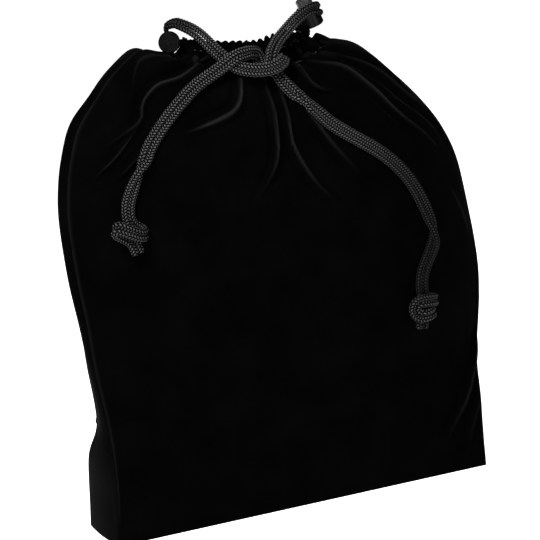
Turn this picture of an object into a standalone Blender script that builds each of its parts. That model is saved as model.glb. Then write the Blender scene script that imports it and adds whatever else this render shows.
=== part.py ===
"""Cinched drawstring bag of black velvet that stands on a box-shaped base.

Front, back, two side gussets and a base make the bag. A tape sewn inside the front and the back makes a
channel round the neck. Two cords run round the neck in it. Both ends of one leave at the left side seam,
both ends of the other at the right. Each pair passes through a spring cord lock, the two pairs are tied
once in front of the neck, and each pair ends in a knot. Metres, +Z up, the front faces -Y.
"""

import math

import bmesh
import bpy
from mathutils import Matrix, Vector

# Driving dimensions
CLOTH = 0.0015  # thickness of the velvet with its pile
TAPE = 0.0010  # thickness of the channel tape
GAP = 0.0003  # between pieces that touch
CORD = 0.0040  # diameter of the braided cord
SQUEEZE = 0.75  # how thick a cord is inside a lock, as a share of its diameter
LOCK_RADIUS = 0.0062
LOCK_LENGTH = 0.0127
BORE_RADIUS = 0.0050
PLUNGER_RADIUS = 0.0047
PLUNGER_TOP = 0.0174  # above the closed end of the lock
PLUNGER_FOOT = 0.0040
SLOT_MIDDLE = 0.00835  # where the cords cross the lock, above its closed end
LOCK_TRAVEL = 0.0013  # how far the plunger is pressed in
ROOM_BELOW, ROOM_ABOVE, ROOM_BESIDE = 0.0008, 0.0005, 0.0005  # round the cords in the slot of a lock's cup
CHANNEL_ROW, HEM_ROW, MOUTH_ROW = 13.0, 14.0, 15.0

# The bag's outline: height at the side seams, half width to the left and to the right, half depth in the
# middle, half depth at the side seams, how far the middle of the front and of the back hangs lower, and
# how much higher the left and the right side seams are.
OUTLINE = [
    (0.0001, 0.1187, 0.1187, 0.0250, 0.0250, 0.000, 0.000, 0.0000, 0.000),
    (0.0400, 0.1165, 0.1200, 0.0280, 0.0240, 0.000, 0.000, 0.0000, 0.000),
    (0.0650, 0.1130, 0.1260, 0.0315, 0.0110, 0.000, 0.000, 0.0000, 0.000),
    (0.1000, 0.1162, 0.1325, 0.0350, 0.0075, 0.000, 0.000, 0.0000, 0.000),
    (0.1250, 0.1178, 0.1336, 0.0365, 0.0070, 0.000, 0.000, 0.0000, 0.000),
    (0.1550, 0.1208, 0.1300, 0.0380, 0.0070, 0.000, 0.000, 0.0000, 0.000),
    (0.1850, 0.1222, 0.1252, 0.0385, 0.0070, 0.000, 0.000, 0.0000, 0.000),
    (0.2050, 0.1212, 0.1180, 0.0380, 0.0070, 0.001, 0.001, 0.0000, 0.000),
    (0.2220, 0.1185, 0.1085, 0.0370, 0.0068, 0.002, 0.002, 0.0000, 0.000),
    (0.2380, 0.1120, 0.0965, 0.0350, 0.0065, 0.004, 0.004, 0.0020, 0.001),
    (0.2510, 0.1010, 0.0815, 0.0315, 0.0062, 0.006, 0.006, 0.0040, 0.003),
    (0.2600, 0.0850, 0.0680, 0.0275, 0.0060, 0.008, 0.008, 0.0080, 0.004),
    (0.2635, 0.0670, 0.0570, 0.0235, 0.0060, 0.008, 0.009, 0.0105, 0.004),
    (0.2650, 0.0485, 0.0450, 0.0205, 0.0060, 0.009, 0.010, 0.0050, 0.002),
    (0.2745, 0.0380, 0.0345, 0.0200, 0.0060, 0.005, 0.008, 0.0000, 0.000),
    (0.2800, 0.0365, 0.0295, 0.0190, 0.0060, 0.004, 0.009, 0.0000, 0.000),
]
MIDDLE = 0.0057  # the middle of the whole width is this far to the right of the middle of the base

# Each lock: middle of its closed end, its axis from there, and the way its cords go through it.
LEFT_LOCK = ((-0.0504, -0.0080, 0.2804), (0.360, 0.930, -0.090), (-0.100, 0.134, 0.986))
RIGHT_LOCK = ((0.0405, -0.0060, 0.2775), (-0.310, 0.070, 0.948), (0.470, -0.855, 0.217))

# Routes of the two pairs of cords: from the side seam to the lock, and from the lock to the knot in front
# of the neck. Each row is the middle of the pair, the way from there to its first cord, and how thick the
# cords are there.
LEFT_RUN_IN = [
    ((-0.0420, 0.0000, 0.2696), (0.00, 1.00, 0.00), 0.90),
    ((-0.0446, -0.0005, 0.2702), (0.05, 0.99, 0.00), 0.80),
]
LEFT_RUN_OUT = [
    ((-0.0474, -0.0010, 0.2893), (0.34, 0.92, 0.10), 1.0),
    ((-0.0440, -0.0055, 0.2905), (0.36, 0.78, 0.50), 1.0),
    ((-0.0393, -0.0100, 0.2880), (0.42, 0.50, 0.76), 1.0),
    ((-0.0345, -0.0158, 0.2835), (0.50, 0.30, 0.81), 1.0),
    ((-0.0305, -0.0215, 0.2765), (0.58, 0.15, 0.80), 1.0),
    ((-0.0268, -0.0255, 0.2690), (0.70, 0.00, 0.70), 1.0),
    ((-0.0222, -0.0274, 0.2652), (0.45, 0.00, 0.89), 1.0),
]
RIGHT_RUN_IN = [
    ((0.0325, 0.0000, 0.2700), (0.00, 1.00, 0.00), 0.90),
    ((0.0352, 0.0008, 0.2708), (0.00, 0.97, 0.22), 0.90),
    ((0.0372, 0.0026, 0.2738), (-0.50, 0.65, 0.55), 0.85),
    ((0.0368, 0.0040, 0.2782), (-0.50, 0.40, 0.76), 0.80),
    ((0.0353, 0.0034, 0.2818), (-0.36, 0.15, 0.92), SQUEEZE),
]
RIGHT_RUN_OUT = [
    ((0.0412, -0.0146, 0.2882), (-0.30, 0.00, 0.95), 1.0),
    ((0.0376, -0.0180, 0.2896), (-0.20, -0.25, 0.95), 1.0),
    ((0.0318, -0.0192, 0.2893), (-0.30, -0.30, 0.90), 1.0),
    ((0.0262, -0.0200, 0.2866), (-0.45, -0.20, 0.87), 1.0),
    ((0.0205, -0.0212, 0.2832), (-0.55, -0.10, 0.83), 1.0),
    ((0.0145, -0.0236, 0.2788), (-0.65, -0.05, 0.76), 1.0),
    ((0.0090, -0.0272, 0.2738), (-0.75, -0.05, 0.66), 1.0),
]

# Routes of the tails, from the knot in front of the neck to the end knots, laid on the front.
LEFT_TAIL = [
    ((-0.0206, -0.0325, 0.2719), (0.00, 0.00, 1.00), 1.0),
    ((-0.0286, -0.0302, 0.2699), (-0.40, 0.00, 0.92), 1.0),
    ((-0.0370, -0.0285, 0.2635), (-0.55, 0.00, 0.83), 1.0),
    ((-0.0450, -0.0287, 0.2580), (-0.53, 0.00, 0.85), 1.0),
    ((-0.0550, -0.0302, 0.2512), (-0.53, 0.00, 0.85), 1.0),
    ((-0.0654, -0.0301, 0.2446), (-0.60, 0.00, 0.80), 1.0),
    ((-0.0751, -0.0301, 0.2360), (-0.74, 0.00, 0.67), 1.0),
    ((-0.0825, -0.0296, 0.2258), (-0.87, 0.00, 0.49), 1.0),
    ((-0.0865, -0.0296, 0.2155), (-0.94, 0.00, 0.33), 1.0),
    ((-0.0903, -0.0290, 0.2038), (-0.95, 0.00, 0.32), 1.0),
    ((-0.0930, -0.0284, 0.1960), (-0.97, 0.00, 0.25), 1.0),
    ((-0.0936, -0.0284, 0.1910), (-0.99, 0.00, 0.12), 1.0),
]
RIGHT_TAIL = [
    ((0.0052, -0.0368, 0.2536), (0.86, 0.00, 0.51), 1.0),
    ((0.0085, -0.0362, 0.2488), (0.86, 0.00, 0.51), 1.0),
    ((0.0146, -0.0366, 0.2406), (0.78, 0.00, 0.62), 1.0),
    ((0.0229, -0.0377, 0.2325), (0.69, 0.00, 0.72), 1.0),
    ((0.0307, -0.0383, 0.2253), (0.64, 0.00, 0.77), 1.0),
    ((0.0397, -0.0381, 0.2186), (0.58, 0.00, 0.81), 1.0),
    ((0.0494, -0.0376, 0.2119), (0.57, 0.00, 0.82), 1.0),
    ((0.0580, -0.0368, 0.2060), (0.60, 0.00, 0.80), 1.0),
    ((0.0660, -0.0357, 0.1995), (0.67, 0.00, 0.74), 1.0),
    ((0.0730, -0.0348, 0.1925), (0.74, 0.00, 0.67), 1.0),
    ((0.0790, -0.0338, 0.1850), (0.82, 0.00, 0.57), 1.0),
    ((0.0840, -0.0328, 0.1768), (0.88, 0.00, 0.48), 1.0),
    ((0.0880, -0.0318, 0.1685), (0.92, 0.00, 0.39), 1.0),
    ((0.0920, -0.0306, 0.1580), (0.96, 0.00, 0.27), 1.0),
    ((0.0938, -0.0300, 0.1480), (1.00, 0.00, -0.03), 1.0),
    ((0.0915, -0.0307, 0.1385), (0.91, 0.00, -0.41), 1.0),
    ((0.0860, -0.0320, 0.1305), (0.85, 0.00, -0.52), 1.0),
    ((0.0820, -0.0328, 0.1230), (0.94, 0.00, -0.35), 1.0),
    ((0.0810, -0.0328, 0.1170), (0.99, 0.00, -0.16), 1.0),
]

CENTRE_KNOT = ((-0.0045, -0.0318, 0.2645), (0.0300, 0.0110, 0.0200), -35)  # middle, size, lean in degrees
LEFT_END_KNOT = (-0.0936, -0.0328, 0.1810)
RIGHT_END_KNOT = (0.0830, -0.0370, 0.1070)
END_KNOT_RADIUS, END_KNOT_HALF, END_KNOT_FLAT = 0.0085, 0.0090, 0.8
STUB_RADIUS, STUB_LENGTH = 0.0036, 0.0050

MATERIALS = {
    # colour, roughness, metallic
    "velvet": ((0.006, 0.006, 0.007), 0.95, 0.0),
    "tape": ((0.012, 0.012, 0.013), 0.80, 0.0),
    "cord": ((0.030, 0.030, 0.032), 0.60, 0.0),
    "lock_shell": ((0.035, 0.036, 0.038), 0.35, 0.0),
    "plunger": ((0.180, 0.180, 0.185), 0.25, 0.0),
    "spring": ((0.600, 0.600, 0.620), 0.30, 1.0),
}


def clear_scene():
    for thing in list(bpy.data.objects):
        bpy.data.objects.remove(thing, do_unlink=True)


def material(name, piece):
    """A material of its own for each piece, with the look that its kind has."""
    colour, roughness, metallic = MATERIALS[name]
    made = bpy.data.materials.new(f"{name}_{piece}")
    made.use_nodes = True
    shader = made.node_tree.nodes["Principled BSDF"]
    shader.inputs["Base Color"].default_value = (*colour, 1.0)
    shader.inputs["Roughness"].default_value = roughness
    shader.inputs["Metallic"].default_value = metallic
    made.diffuse_color = (*colour, 1.0)
    return made


def place(name, data, look, parent=None):
    thing = bpy.data.objects.new(name, data)
    bpy.context.scene.collection.objects.link(thing)
    data.materials.append(material(look, name))
    if parent:
        thing.parent = parent
    return thing


def mesh_of(name, points, faces, smooth=True):
    mesh = bpy.data.meshes.new(name)
    mesh.from_pydata([tuple(p) for p in points], [], faces)
    if smooth:
        mesh.shade_smooth()
        mesh.set_sharp_from_angle(angle=math.radians(40))
    return mesh


def catmull_rom(a, b, c, d, t):
    """The point at t between b and c on the smooth curve through the four."""
    return tuple(
        0.5 * (2 * q + (r - p) * t + (2 * p - 5 * q + 4 * r - s) * t * t + (3 * q - p - 3 * r + s) * t**3)
        for p, q, r, s in zip(a, b, c, d)
    )


def smooth_at(rows, at):
    """The value at place `at` of a smooth curve through rows, which sit at 0, 1, 2 and so on."""
    i = min(max(int(at), 0), len(rows) - 2)
    before = rows[i - 1] if i > 0 else tuple(2 * q - r for q, r in zip(rows[0], rows[1]))
    after = rows[i + 2] if i + 2 < len(rows) else tuple(2 * q - r for q, r in zip(rows[-1], rows[-2]))
    return catmull_rom(before, rows[i], rows[i + 1], after, at - i)


def bag_point(row, side, across):
    """A point of the bag's outer face. side is -1 for the front and 1 for the back, and across runs from
    -1 at the left side seam to 1 at the right one."""
    height, left, right, deep, seam, sag_front, sag_back, up_left, up_right = smooth_at(OUTLINE, row)
    neck = min(max((row - 9.0) / 4.0, 0.0), 1.0)
    roundness = (1 - abs(across) ** (2.5 - 0.5 * neck)) ** (0.75 - 0.25 * neck)
    sag = (sag_front if side < 0 else sag_back) * (1 - across * across)
    lift = up_left * ((1 - across) / 2) ** 2 + up_right * ((1 + across) / 2) ** 2
    x = across * (left if across < 0 else right)
    y = side * (seam + (deep - seam) * roundness)
    return Vector((x, y, height - sag + lift))


def bag_normal(row, side, across):
    """Outward direction there, from the slopes of the surface."""
    step = 0.02
    low, high = max(row - step, 0.0), min(row + step, MOUTH_ROW)
    near, far = max(across - step, -0.999), min(across + step, 0.999)
    up = bag_point(high, side, across) - bag_point(low, side, across)
    along = bag_point(row, side, far) - bag_point(row, side, near)
    normal = up.cross(along) if side > 0 else along.cross(up)
    return normal.normalized()


def grid(rows_of_points):
    """Points and quads of a sheet, rows from the bottom up."""
    wide = len(rows_of_points[0])
    points = [p for row in rows_of_points for p in row]
    faces = [
        (k * wide + i, k * wide + i + 1, (k + 1) * wide + i + 1, (k + 1) * wide + i)
        for k in range(len(rows_of_points) - 1)
        for i in range(wide - 1)
    ]
    return points, faces


def thicken(thing, thickness, inward=True):
    solid = thing.modifiers.new("thickness", "SOLIDIFY")
    solid.thickness = thickness
    solid.offset = -1.0 if inward else 1.0
    solid.use_even_offset = True
    return thing


PANEL_ROWS = [0, 1, 1.5, 2, 2.5] + [3 + 0.5 * k for k in range(25)]
PANEL_COLUMNS = 20


def spread(k, count):
    """Places from -1 to 1, closer together towards both ends."""
    return math.sin(math.pi / 2 * (2 * k / count - 1))


def make_panel(name, side):
    """The front or the back, from the floor to the edge of the mouth."""
    rows = [[bag_point(r, side, spread(i, PANEL_COLUMNS)) for i in range(PANEL_COLUMNS + 1)] for r in PANEL_ROWS]
    if side > 0:
        rows = [row[::-1] for row in rows]
    return thicken(place(name, mesh_of(name, *grid(rows)), "velvet"), CLOTH)


def make_gusset(name, end):
    """The strip between the front and the back at one side, up to the channel. end is -1 for the left."""
    rows = []
    for r in [r for r in PANEL_ROWS if r < CHANNEL_ROW - 0.4]:
        front, back = bag_point(r, -1, end), bag_point(r, 1, end)
        edge = CLOTH + GAP
        front.y += edge
        back.y -= edge
        row = [front.lerp(back, k / 2) for k in range(3)]
        rows.append(row if end > 0 else row[::-1])
    return thicken(place(name, mesh_of(name, *grid(rows)), "velvet"), CLOTH)


def box_mesh(name, size, middle=(0, 0, 0)):
    mesh = bpy.data.meshes.new(name)
    shape = bmesh.new()
    bmesh.ops.create_cube(shape, size=1.0)
    bmesh.ops.scale(shape, vec=size, verts=shape.verts)
    bmesh.ops.translate(shape, vec=middle, verts=shape.verts)
    shape.to_mesh(mesh)
    shape.free()
    return mesh


def make_base():
    _, left, right, deep, *_ = OUTLINE[0]
    edge = CLOTH + GAP
    mesh = box_mesh("base_panel", (left + right - 2 * edge, 2 * (deep - edge), CLOTH), (0, 0, CLOTH / 2))
    return place("base_panel", mesh, "velvet")


def channel_point(level, side, across, depth):
    """A point of the channel: level runs from 0 at its lower edge to 1, and depth is from the outer face."""
    row = CHANNEL_ROW + level * (HEM_ROW - CHANNEL_ROW)
    inward = bag_normal((CHANNEL_ROW + HEM_ROW) / 2, side, across) * -depth
    return bag_point(row, side, across) + inward


def make_casing(name, side):
    """The tape inside the neck that makes the channel: sewn along both edges and bulging between them. It
    stops short of the side seams."""
    rows = []
    for k in range(9):
        v = (1 - math.cos(math.pi * k / 8)) / 2
        bulge = 0.0054 * math.sqrt(max(0.0, 1 - (2 * v - 1) ** 4))
        depth = CLOTH + GAP + 0.0001 + bulge
        line = [channel_point(v, side, spread(i, PANEL_COLUMNS), depth) for i in range(4, PANEL_COLUMNS - 3)]
        rows.append(line if side < 0 else line[::-1])
    return thicken(place(name, mesh_of(name, *grid(rows)), "tape"), TAPE)


def tube(name, points, radius=CORD / 2, look="cord", sides=2, parent=None, thick=None):
    """A round tube along the points, with closed ends."""
    curve = bpy.data.curves.new(name, "CURVE")
    curve.dimensions = "3D"
    curve.bevel_depth = radius
    curve.bevel_resolution = sides
    curve.use_fill_caps = True
    line = curve.splines.new("POLY")
    line.points.add(len(points) - 1)
    for k, place_at in enumerate(points):
        line.points[k].co = (*place_at, 1.0)
        line.points[k].radius = thick[k] if thick else 1.0
    return place(name, curve, look, parent)


def places(route, spacing):
    """Places on the smooth curve through the route, about that far apart, from one end to the other."""
    fine = [k / 20 for k in range(20 * (len(route) - 1) + 1)]
    points = [Vector(smooth_at(route, at)[:3]) for at in fine]
    reached = [0.0]
    for a, b in zip(points, points[1:]):
        reached.append(reached[-1] + (b - a).length)
    count = max(2, round(reached[-1] / spacing))
    found, k = [], 0
    for n in range(count + 1):
        goal = reached[-1] * n / count
        while k < len(fine) - 2 and reached[k + 1] < goal:
            k += 1
        share = (goal - reached[k]) / (reached[k + 1] - reached[k])
        found.append(fine[k] + share * (fine[k + 1] - fine[k]))
    return found


def along(route, spacing):
    return [smooth_at(route, at) for at in places(route, spacing)]


def lock_frame(lock):
    """The lock's closed end, its axis, and the way through its slot at right angles to the axis."""
    foot, axis, way = (Vector(v) for v in lock)
    axis.normalize()
    return foot, axis, (way - axis * way.dot(axis)).normalized()


def through(lock):
    """Rows of a route that take a pair of cords straight through the lock's slot."""
    foot, axis, way = lock_frame(lock)
    middle = foot + axis * SLOT_MIDDLE
    return [(tuple(middle + way * d), tuple(axis), SQUEEZE) for d in (-0.0075, -0.0050, 0, 0.0050, 0.0075)]


def make_pair(name, route, spacing):
    """Two cords side by side, a gap apart."""
    rows = [(*middle, *way, thick) for middle, way, thick in route]
    first, second, thickness = [], [], []
    for at in places(rows, spacing):
        *numbers, thick = smooth_at(rows, at)
        here, way = Vector(numbers[:3]), Vector(numbers[3:])
        ahead = Vector(smooth_at(rows, at + 0.02)[:3]) - Vector(smooth_at(rows, at - 0.02)[:3])
        ahead.normalize()
        way = (way - ahead * way.dot(ahead)).normalized() * ((CORD * thick + GAP) / 2)
        first.append(here + way)
        second.append(here - way)
        thickness.append(thick)
    tube(f"{name}_a", first, thick=thickness)
    tube(f"{name}_b", second, thick=thickness)


SNUG = 0.92  # how thick a cord is inside the channel, as a share of its diameter
LOOP_DEPTH = CLOTH + GAP + SNUG * CORD / 2 + 0.00015  # of a cord's middle inside the channel


def make_loop(name, end, level):
    """The part of a drawstring that lies in the channel: from one side of its own side seam round the far
    end of the neck and back. end is the side that it leaves at, and level its place up the channel."""
    reach = [end * 0.86 * (1 - k / 8) for k in range(17)]
    front = [channel_point(level, -1, s, LOOP_DEPTH) for s in reach]
    back = [channel_point(level, 1, s, LOOP_DEPTH) for s in reach]
    far = channel_point(level, -1, -end, 0.0)
    turn = Vector((far.x + end * (LOOP_DEPTH + 0.0012), 0.0, (front[-1].z + back[-1].z) / 2))
    tube(name, along([tuple(p) for p in (*front, turn, *back[::-1])], 0.0085), SNUG * CORD / 2)


def lathe(name, profile, segments=28):
    """A closed solid of revolution round Z. The profile runs from the axis at the bottom, outside upwards."""
    shape = bmesh.new()
    points = [shape.verts.new((r, 0, z)) for r, z in profile]
    edges = [shape.edges.new(pair) for pair in zip(points, points[1:])]
    bmesh.ops.spin(
        shape, geom=points + edges, cent=(0, 0, 0), axis=(0, 0, 1), angle=2 * math.pi, steps=segments
    )
    bmesh.ops.remove_doubles(shape, verts=shape.verts, dist=1e-6)
    bmesh.ops.recalc_face_normals(shape, faces=shape.faces)
    mesh = bpy.data.meshes.new(name)
    shape.to_mesh(mesh)
    shape.free()
    mesh.shade_smooth()
    mesh.set_sharp_from_angle(angle=math.radians(35))
    return mesh


def cut_slot(thing, low, high, width, parent):
    """Cuts a slot through the piece along its own X, between two heights above the closed end."""
    size = (4 * LOCK_RADIUS, width, high - low)
    cutter = place(f"cut_{thing.name}", box_mesh("cut", size, (0, 0, (low + high) / 2)), "tape", parent)
    cutter.hide_render = True
    cutter.display_type = "WIRE"
    cut = thing.modifiers.new("slot", "BOOLEAN")
    cut.operation = "DIFFERENCE"
    cut.solver = "EXACT"
    cut.object = cutter


def make_lock(side, lock):
    """A spring cord lock: a cup, and a plunger in it that a spring pushes out. Both have a slot that the
    two cords go through, one above the other. Every piece hangs on an empty at the closed end."""
    foot, z, x = lock_frame(lock)
    turn = Matrix((x, z.cross(x), z)).transposed().to_4x4()
    empty = bpy.data.objects.new(f"{side}_lock_axis", None)
    bpy.context.scene.collection.objects.link(empty)
    empty.matrix_world = Matrix.Translation(foot) @ turn

    squeezed = CORD * SQUEEZE
    stack = 2 * squeezed + GAP
    cord_low, cord_high = SLOT_MIDDLE - stack / 2, SLOT_MIDDLE + stack / 2
    floor, rim = 0.0010, 0.0008
    cup = [
        (0, 0), (LOCK_RADIUS - rim, 0), (LOCK_RADIUS, rim), (LOCK_RADIUS, LOCK_LENGTH - rim),
        (LOCK_RADIUS - rim / 2, LOCK_LENGTH), (BORE_RADIUS, LOCK_LENGTH), (BORE_RADIUS, floor), (0, floor),
    ]
    body = place(f"{side}_lock_body", lathe(f"{side}_lock_body", cup), "lock_shell", empty)
    cut_slot(body, cord_low - ROOM_BELOW, cord_high + ROOM_ABOVE, squeezed + 2 * ROOM_BESIDE, empty)

    pin = [
        (0, PLUNGER_FOOT), (PLUNGER_RADIUS - rim, PLUNGER_FOOT), (PLUNGER_RADIUS, PLUNGER_FOOT + rim),
        (PLUNGER_RADIUS, PLUNGER_TOP - rim), (PLUNGER_RADIUS - rim, PLUNGER_TOP), (0, PLUNGER_TOP),
    ]
    plunger = place(f"{side}_lock_plunger", lathe(f"{side}_lock_plunger", pin), "plunger", empty)
    cut_slot(plunger, cord_low - GAP, cord_high + LOCK_TRAVEL + GAP, squeezed + 2 * GAP, empty)

    wire, coil, turns, steps = 0.00025, 0.0034, 2, 12
    low, high = floor + GAP + wire, PLUNGER_FOOT - GAP - wire
    helix = [
        (
            coil * math.cos(2 * math.pi * k / steps),
            coil * math.sin(2 * math.pi * k / steps),
            low + (high - low) * k / (turns * steps),
        )
        for k in range(int(turns * steps) + 1)
    ]
    tube(f"{side}_lock_spring", helix, wire, "spring", 1, empty)


def make_centre_knot():
    middle, size, lean = CENTRE_KNOT
    thing = place("centre_knot", box_mesh("centre_knot", size), "cord")
    thing.location = middle
    thing.rotation_euler.x = math.radians(lean)
    soft = thing.modifiers.new("round", "BEVEL")
    soft.width = 0.004
    soft.segments = 2
    return thing


def make_end_knot(name, middle):
    """The lump of a knot tied in both cords together, with their short ends under it."""
    ball = [
        (END_KNOT_RADIUS * math.cos(a), END_KNOT_HALF * math.sin(a))
        for a in (math.radians(d) for d in (-55, -30, 0, 30, 55, 75))
    ]
    stub = -END_KNOT_HALF - STUB_LENGTH
    profile = [(0, stub), (STUB_RADIUS, stub), (STUB_RADIUS, -END_KNOT_HALF * 0.9), *ball, (0, END_KNOT_HALF)]
    thing = place(name, lathe(name, profile, 16), "cord")
    thing.location = middle
    thing.scale.y = END_KNOT_FLAT
    return thing


def build():
    clear_scene()
    make_panel("front_panel", -1)
    make_panel("back_panel", 1)
    make_gusset("left_gusset", -1)
    make_gusset("right_gusset", 1)
    make_base()
    make_casing("front_casing", -1)
    make_casing("back_casing", 1)
    make_loop("left_drawstring_loop", -1, 0.29)
    make_loop("right_drawstring_loop", 1, 0.71)
    make_lock("left", LEFT_LOCK)
    make_lock("right", RIGHT_LOCK)
    make_pair("left_run", LEFT_RUN_IN + through(LEFT_LOCK) + LEFT_RUN_OUT, 0.0045)
    make_pair("right_run", RIGHT_RUN_IN + through(RIGHT_LOCK) + RIGHT_RUN_OUT, 0.0045)
    make_pair("left_tail", LEFT_TAIL, 0.010)
    make_pair("right_tail", RIGHT_TAIL, 0.010)
    make_centre_knot()
    make_end_knot("left_end_knot", LEFT_END_KNOT)
    make_end_knot("right_end_knot", RIGHT_END_KNOT)
    for thing in bpy.data.objects:
        if not thing.parent:
            thing.location.x -= MIDDLE


build()
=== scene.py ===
"""Looks of the cinched drawstring bag: gathered velvet, braided cords with real knots, and cord locks.

Everything is in metres in the CAD frame. The lists of places below are measured from the middle of the
bag's base, which is MIDDLE to the left of the middle of the whole width.
"""

import math

import bmesh
import bpy
import numpy as np
from mathutils import Matrix, Vector
from mathutils.bvhtree import BVHTree

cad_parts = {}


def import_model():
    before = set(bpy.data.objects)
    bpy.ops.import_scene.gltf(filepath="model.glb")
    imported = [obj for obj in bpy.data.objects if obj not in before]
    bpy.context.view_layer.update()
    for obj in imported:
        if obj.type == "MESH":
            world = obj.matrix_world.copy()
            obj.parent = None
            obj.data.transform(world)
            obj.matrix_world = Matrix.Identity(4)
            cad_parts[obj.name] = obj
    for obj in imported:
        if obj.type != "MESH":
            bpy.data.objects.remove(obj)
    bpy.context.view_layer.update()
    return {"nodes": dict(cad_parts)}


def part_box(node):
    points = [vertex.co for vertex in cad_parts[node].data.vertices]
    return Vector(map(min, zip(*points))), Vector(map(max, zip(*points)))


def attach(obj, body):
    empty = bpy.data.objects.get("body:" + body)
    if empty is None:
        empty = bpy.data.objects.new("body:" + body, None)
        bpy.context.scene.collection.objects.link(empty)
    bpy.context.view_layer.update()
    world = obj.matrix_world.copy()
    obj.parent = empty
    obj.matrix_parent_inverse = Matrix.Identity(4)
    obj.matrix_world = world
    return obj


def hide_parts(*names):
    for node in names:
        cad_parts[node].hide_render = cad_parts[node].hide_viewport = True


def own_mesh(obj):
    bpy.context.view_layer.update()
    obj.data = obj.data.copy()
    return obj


MIDDLE = 0.0057
CORD = 0.0040  # thickness of a cord
SPACING = 0.00385  # between the middles of two cords that press on each other
CORD_STEP = 0.0012  # between the points of a cord's line while it settles
SLOT_MIDDLE = 0.00835  # from a lock's closed end to the middle of its cross hole
SQUEEZE = 0.75  # how thin a lock squeezes its cords, as a share of their thickness
VELVET_THICK, TAPE_THICK = 0.0010, 0.0008  # of the sheets that are seen

# The bag's outline, as in the CAD: height at the side seams, half width to the left and right, half depth
# in the middle and at the seams, how far the middle of the front and back hangs, and lift of each seam.
# A row number below is a place in this list, and it may lie between two of them.
OUTLINE = np.array([
    (0.0001, 0.1187, 0.1187, 0.0250, 0.0250, 0.000, 0.000, 0.0000, 0.000),
    (0.0400, 0.1165, 0.1200, 0.0280, 0.0240, 0.000, 0.000, 0.0000, 0.000),
    (0.0650, 0.1130, 0.1260, 0.0315, 0.0110, 0.000, 0.000, 0.0000, 0.000),
    (0.1000, 0.1162, 0.1325, 0.0350, 0.0075, 0.000, 0.000, 0.0000, 0.000),
    (0.1250, 0.1178, 0.1336, 0.0365, 0.0070, 0.000, 0.000, 0.0000, 0.000),
    (0.1550, 0.1208, 0.1300, 0.0380, 0.0070, 0.000, 0.000, 0.0000, 0.000),
    (0.1850, 0.1222, 0.1252, 0.0385, 0.0070, 0.000, 0.000, 0.0000, 0.000),
    (0.2050, 0.1212, 0.1180, 0.0380, 0.0070, 0.001, 0.001, 0.0000, 0.000),
    (0.2220, 0.1185, 0.1085, 0.0370, 0.0068, 0.002, 0.002, 0.0000, 0.000),
    (0.2380, 0.1120, 0.0965, 0.0350, 0.0065, 0.004, 0.004, 0.0020, 0.001),
    (0.2510, 0.1010, 0.0815, 0.0315, 0.0062, 0.006, 0.006, 0.0040, 0.003),
    (0.2600, 0.0850, 0.0680, 0.0275, 0.0060, 0.008, 0.008, 0.0080, 0.004),
    (0.2635, 0.0670, 0.0570, 0.0235, 0.0060, 0.008, 0.009, 0.0105, 0.004),
    (0.2650, 0.0485, 0.0450, 0.0205, 0.0060, 0.009, 0.010, 0.0050, 0.002),
    (0.2745, 0.0380, 0.0345, 0.0200, 0.0060, 0.005, 0.008, 0.0000, 0.000),
    (0.2800, 0.0365, 0.0295, 0.0190, 0.0060, 0.004, 0.009, 0.0000, 0.000),
])
NECK_ROW = 9.0  # where the bag starts to narrow to its neck
CHANNEL_ROW, HEM_ROW, MOUTH_ROW = 13.0, 14.0, 15.0  # lower and upper seam of the channel, and the mouth

# Folds on the front, which the back repeats: how far each stands out, its half width, and the places (x, z)
# it passes.
FOLDS = [
    (0.0030, 0.0016, [(-0.054, 0.271), (-0.074, 0.270), (-0.081, 0.266), (-0.088, 0.252)]),
    (0.0040, 0.0016, [
        (-0.030, 0.272), (-0.055, 0.262), (-0.080, 0.251), (-0.085, 0.242),
        (-0.093, 0.238), (-0.113, 0.231),
    ]),
    (0.0034, 0.0014, [(-0.088, 0.238), (-0.100, 0.227), (-0.118, 0.209)]),
    (0.0030, 0.0014, [(-0.087, 0.224), (-0.094, 0.219), (-0.103, 0.210)]),
    (0.0052, 0.0017, [(-0.023, 0.260), (-0.025, 0.252), (-0.028, 0.244), (-0.037, 0.238), (-0.066, 0.231)]),
    (0.0040, 0.0014, [(-0.011, 0.257), (-0.009, 0.245), (-0.008, 0.233), (-0.011, 0.208), (-0.027, 0.186)]),
    (0.0042, 0.0014, [
        (-0.003, 0.255), (-0.001, 0.243), (0.000, 0.232), (0.001, 0.215),
        (0.013, 0.192), (0.031, 0.174),
    ]),
    (0.0038, 0.0014, [(0.005, 0.250), (0.009, 0.240), (0.021, 0.220), (0.031, 0.206), (0.048, 0.186)]),
    (0.0044, 0.0015, [(0.022, 0.261), (0.041, 0.254), (0.056, 0.243), (0.070, 0.231), (0.103, 0.196)]),
    (0.0036, 0.0015, [(0.033, 0.262), (0.053, 0.257), (0.080, 0.242), (0.108, 0.213), (0.116, 0.192)]),
    (0.0030, 0.0014, [(0.045, 0.266), (0.071, 0.255), (0.098, 0.233)]),
    (0.0034, 0.0014, [(0.013, 0.259), (0.021, 0.246), (0.035, 0.242)]),
    (0.0020, 0.0027, [(0.104, 0.175), (0.112, 0.160), (0.120, 0.142)]),
    (0.0034, 0.0017, [(0.122, 0.078), (0.116, 0.062), (0.104, 0.044), (0.089, 0.024), (0.087, 0.010)]),
    (0.0026, 0.0015, [(0.117, 0.052), (0.112, 0.040), (0.105, 0.025), (0.100, 0.008)]),
]

# Locks, as in the CAD: middle of the closed end, axis, and the way the cords go through.
LEFT_LOCK = ((-0.0504, -0.0080, 0.2804), (0.360, 0.930, -0.090), (-0.100, 0.134, 0.986))
RIGHT_LOCK = ((0.0405, -0.0060, 0.2775), (-0.310, 0.070, 0.948), (0.470, -0.855, 0.217))
LOCKS = {"left": LEFT_LOCK, "right": RIGHT_LOCK}

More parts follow.
